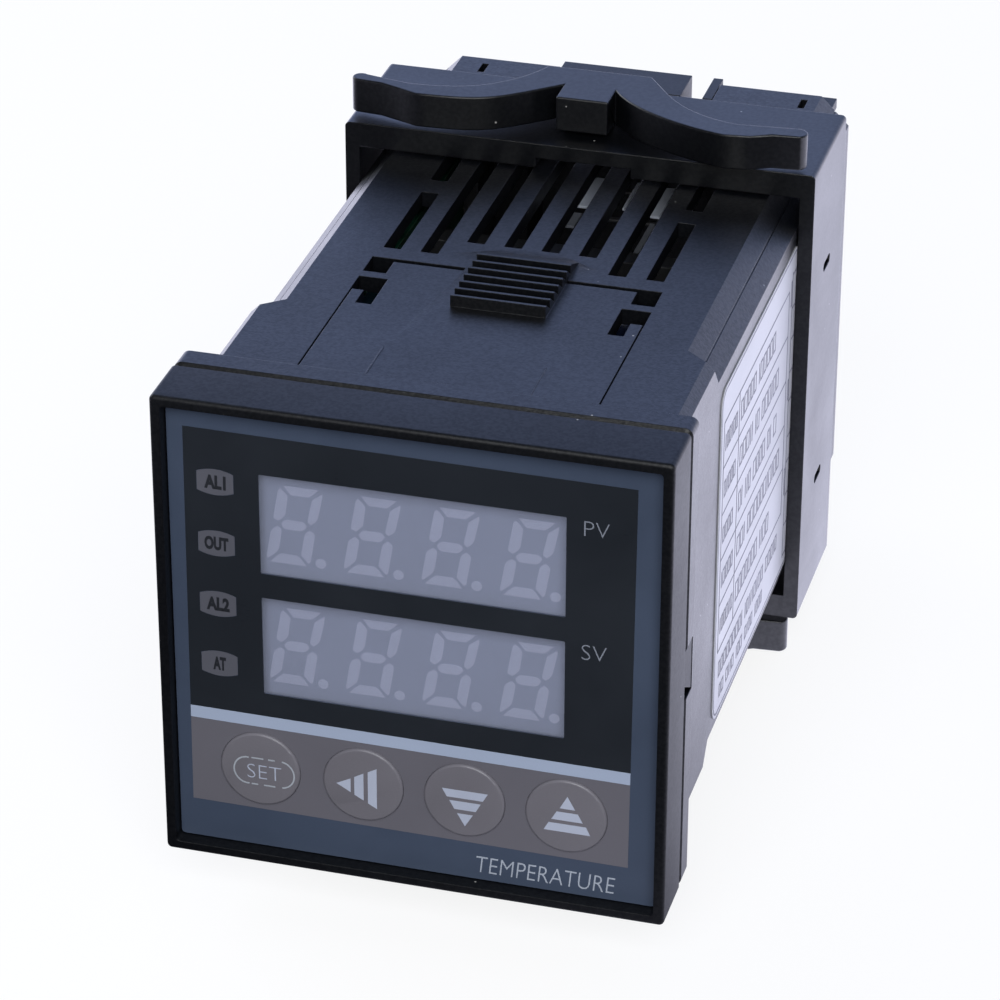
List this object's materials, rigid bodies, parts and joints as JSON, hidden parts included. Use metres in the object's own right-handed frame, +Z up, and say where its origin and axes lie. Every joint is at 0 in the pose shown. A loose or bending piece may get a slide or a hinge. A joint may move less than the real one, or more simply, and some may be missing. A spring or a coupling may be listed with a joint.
{
  "type": "panel-mount temperature controller",
  "caption": "Square panel-mount temperature controller with digit displays, front keys, a finned plug-in case and a slide-on clamping frame.",
  "frame": {"origin": "centre of the panel seating plane, the rear face of the case flange", "axes": "+Y from the front towards the terminals, +Z up, +X to the right seen from the front"},
  "size_m": [0.0482, 0.0894, 0.0582],
  "materials": {
    "case_abs": "fine spark-eroded black ABS with a satin sheen",
    "frame_abs": "black ABS, smooth satin",
    "bezel_abs": "black ABS, fine texture",
    "film": "printed polycarbonate film, fine matt",
    "key_film": "embossed polycarbonate film, warm grey print",
    "filter": "clear-grey acrylic, light matt coat",
    "label": "coated white paper label, printed rules",
    "display_body": "grey-faced LED digit module",
    "led_lens": "tinted epoxy",
    "stem": "ivory acetal",
    "switch_body": "black nylon",
    "pcb": "green solder mask over glass-epoxy laminate",
    "connector": "black thermoplastic",
    "terminal_abs": "black flame-retardant plastic",
    "terminal_steel": "nickel-plated steel",
    "terminal_brass": "nickel-flashed brass",
    "ferrite": "sintered ferrite",
    "coil_tape": "yellow polyester tape",
    "bobbin": "black phenolic",
    "cap_sleeve": "dark blue sleeve",
    "relay_case": "blue polyester",
    "chip": "black epoxy"
  },
  "bodies": {
    "housing": {"case_housing": "case_abs", "rating_label": "label", "terminal_block": "terminal_abs", "terminal_plates": "terminal_brass", "terminal_screws": "terminal_steel", "edge_sockets": "connector", "contact_blades": "terminal_brass"},
    "chassis": {"front_bezel": "bezel_abs", "front_film": "film", "display_filter": "filter", "key_switches": "switch_body", "pv_display": "display_body", "sv_display": "display_body", "indicator_leds": "led_lens", "display_board": "pcb", "board_headers": "connector", "main_board": "pcb", "power_board": "pcb", "chassis_brace": "connector", "transformer_core": "ferrite", "transformer_coil": "coil_tape", "transformer_base": "bobbin", "filter_capacitors": "cap_sleeve", "rectifier": "chip", "output_relays": "relay_case", "control_ic": "chip", "optocouplers": "chip"},
    "frame": {"mounting_frame": "frame_abs"},
    "claw_top": {"top_claw": "frame_abs"},
    "claw_bottom": {"bottom_claw": "frame_abs"},
    "stopper": {"chassis_stopper": "bezel_abs"},
    "key_set_body": {"key_set": "key_film", "plunger_set": "stem"},
    "key_shift_body": {"key_shift": "key_film", "plunger_shift": "stem"},
    "key_down_body": {"key_down": "key_film", "plunger_down": "stem"},
    "key_up_body": {"key_up": "key_film", "plunger_up": "stem"}
  },
  "joints": [
    {"name": "chassis_slide", "type": "slide", "parent": "housing", "child": "chassis", "axis": [0, -1, 0], "range_m": [0, 0.06]},
    {"name": "frame_slide", "type": "slide", "parent": "housing", "child": "frame", "axis": [0, -1, 0], "range_m": [-0.024, 0.0469]},
    {"name": "top_claw_flex", "type": "hinge", "parent": "frame", "child": "claw_top", "pos_m": [0, 0.056, 0.0251], "axis": [1, 0, 0], "range_deg": [-5.5, 4], "stiffness_Nm_per_rad": 0.2},
    {"name": "bottom_claw_flex", "type": "hinge", "parent": "frame", "child": "claw_bottom", "pos_m": [0, 0.056, -0.0251], "axis": [-1, 0, 0], "range_deg": [-5.5, 4], "stiffness_Nm_per_rad": 0.2},
    {"name": "stopper_flex", "type": "hinge", "parent": "chassis", "child": "stopper", "pos_m": [0, -0.0013, -0.01955], "axis": [1, 0, 0], "range_deg": [-4, 2], "stiffness_Nm_per_rad": 0.05},
    {"name": "key_set_press", "type": "slide", "parent": "chassis", "child": "key_set_body", "axis": [0, 1, 0], "range_m": [0, 0.0003], "stiffness_N_per_m": 400},
    {"name": "key_shift_press", "type": "slide", "parent": "chassis", "child": "key_shift_body", "axis": [0, 1, 0], "range_m": [0, 0.0003], "stiffness_N_per_m": 400},
    {"name": "key_down_press", "type": "slide", "parent": "chassis", "child": "key_down_body", "axis": [0, 1, 0], "range_m": [0, 0.0003], "stiffness_N_per_m": 400},
    {"name": "key_up_press", "type": "slide", "parent": "chassis", "child": "key_up_body", "axis": [0, 1, 0], "range_m": [0, 0.0003], "stiffness_N_per_m": 400}
  ]
}
